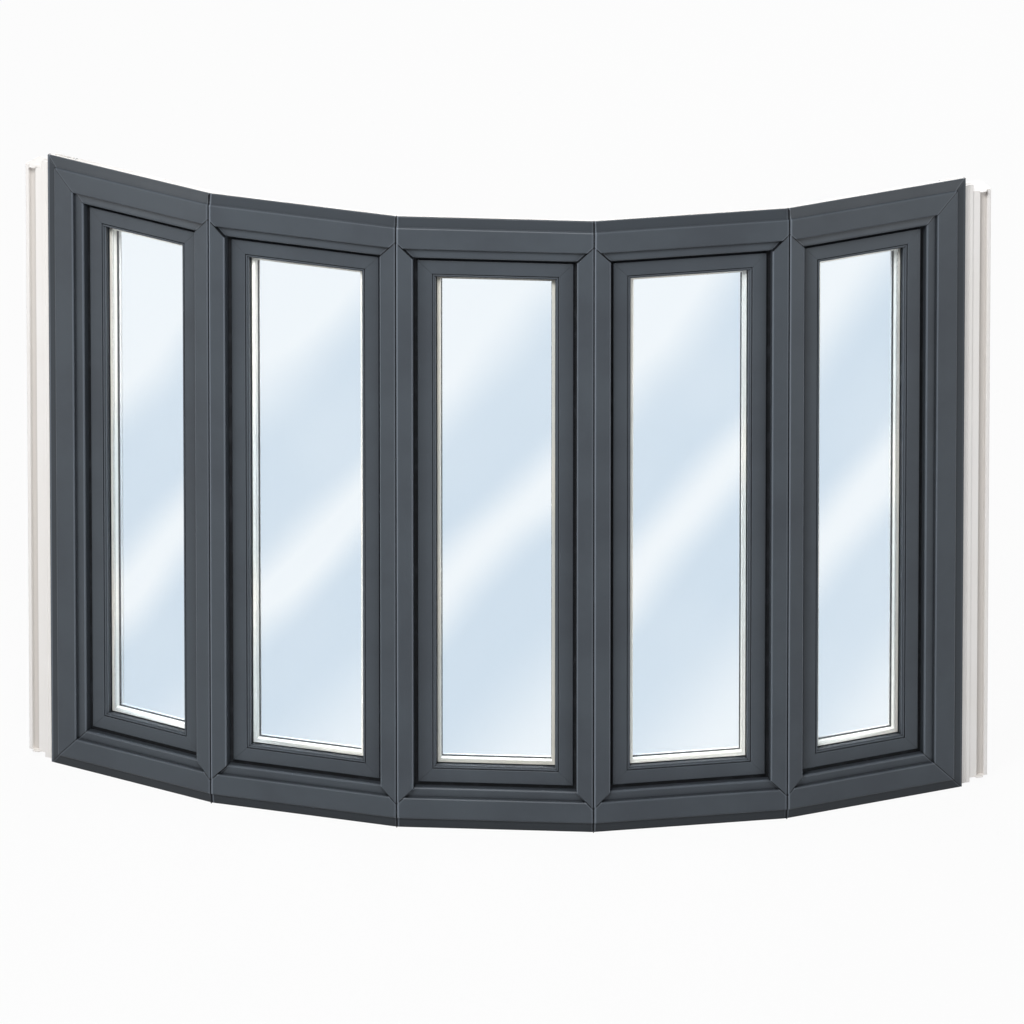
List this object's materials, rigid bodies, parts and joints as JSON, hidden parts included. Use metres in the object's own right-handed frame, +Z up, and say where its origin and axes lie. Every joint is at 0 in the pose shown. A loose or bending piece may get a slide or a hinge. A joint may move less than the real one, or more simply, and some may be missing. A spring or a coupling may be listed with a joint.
{
  "type": "bow window",
  "caption": "Tall shallow-arc bow window of equal glazed lights in dark-faced frames with white inner sides and a white post at each end.",
  "frame": {"origin": "bottom centre of the window's outline", "axes": "+X along the wall, -Y to the outside, +Z up"},
  "size_m": [1.9546, 0.3956, 1.32],
  "materials": {
    "graphite_foil": "fine satin grain, dark grey outside and white inside",
    "white_pvc": "smooth satin white",
    "window_glass": "clear, faintly blue",
    "spacer_metal": "pale grey, dull",
    "black_rubber": "matt black"
  },
  "bodies": {
    "root": {"head_rail_1": "graphite_foil", "head_rail_2": "graphite_foil", "head_rail_3": "graphite_foil", "head_rail_4": "graphite_foil", "head_rail_5": "graphite_foil", "sill_rail_1": "graphite_foil", "sill_rail_2": "graphite_foil", "sill_rail_3": "graphite_foil", "sill_rail_4": "graphite_foil", "sill_rail_5": "graphite_foil", "end_jamb_left": "graphite_foil", "end_jamb_right": "graphite_foil", "mullion_1": "graphite_foil", "mullion_2": "graphite_foil", "mullion_3": "graphite_foil", "mullion_4": "graphite_foil", "sash_1": "graphite_foil", "sash_2": "graphite_foil", "sash_3": "graphite_foil", "sash_4": "graphite_foil", "sash_5": "graphite_foil", "glazing_bead_1": "white_pvc", "glazing_bead_2": "white_pvc", "glazing_bead_3": "white_pvc", "glazing_bead_4": "white_pvc", "glazing_bead_5": "white_pvc", "panes_1": "window_glass", "panes_2": "window_glass", "panes_3": "window_glass", "panes_4": "window_glass", "panes_5": "window_glass", "spacer_bar_1": "spacer_metal", "spacer_bar_2": "spacer_metal", "spacer_bar_3": "spacer_metal", "spacer_bar_4": "spacer_metal", "spacer_bar_5": "spacer_metal", "joint_seals": "black_rubber", "sash_seals": "black_rubber", "glazing_seals": "black_rubber", "wall_post_left": "white_pvc", "wall_post_right": "white_pvc", "post_caps_left": "white_pvc", "post_caps_right": "white_pvc"}
  },
  "joints": []
}
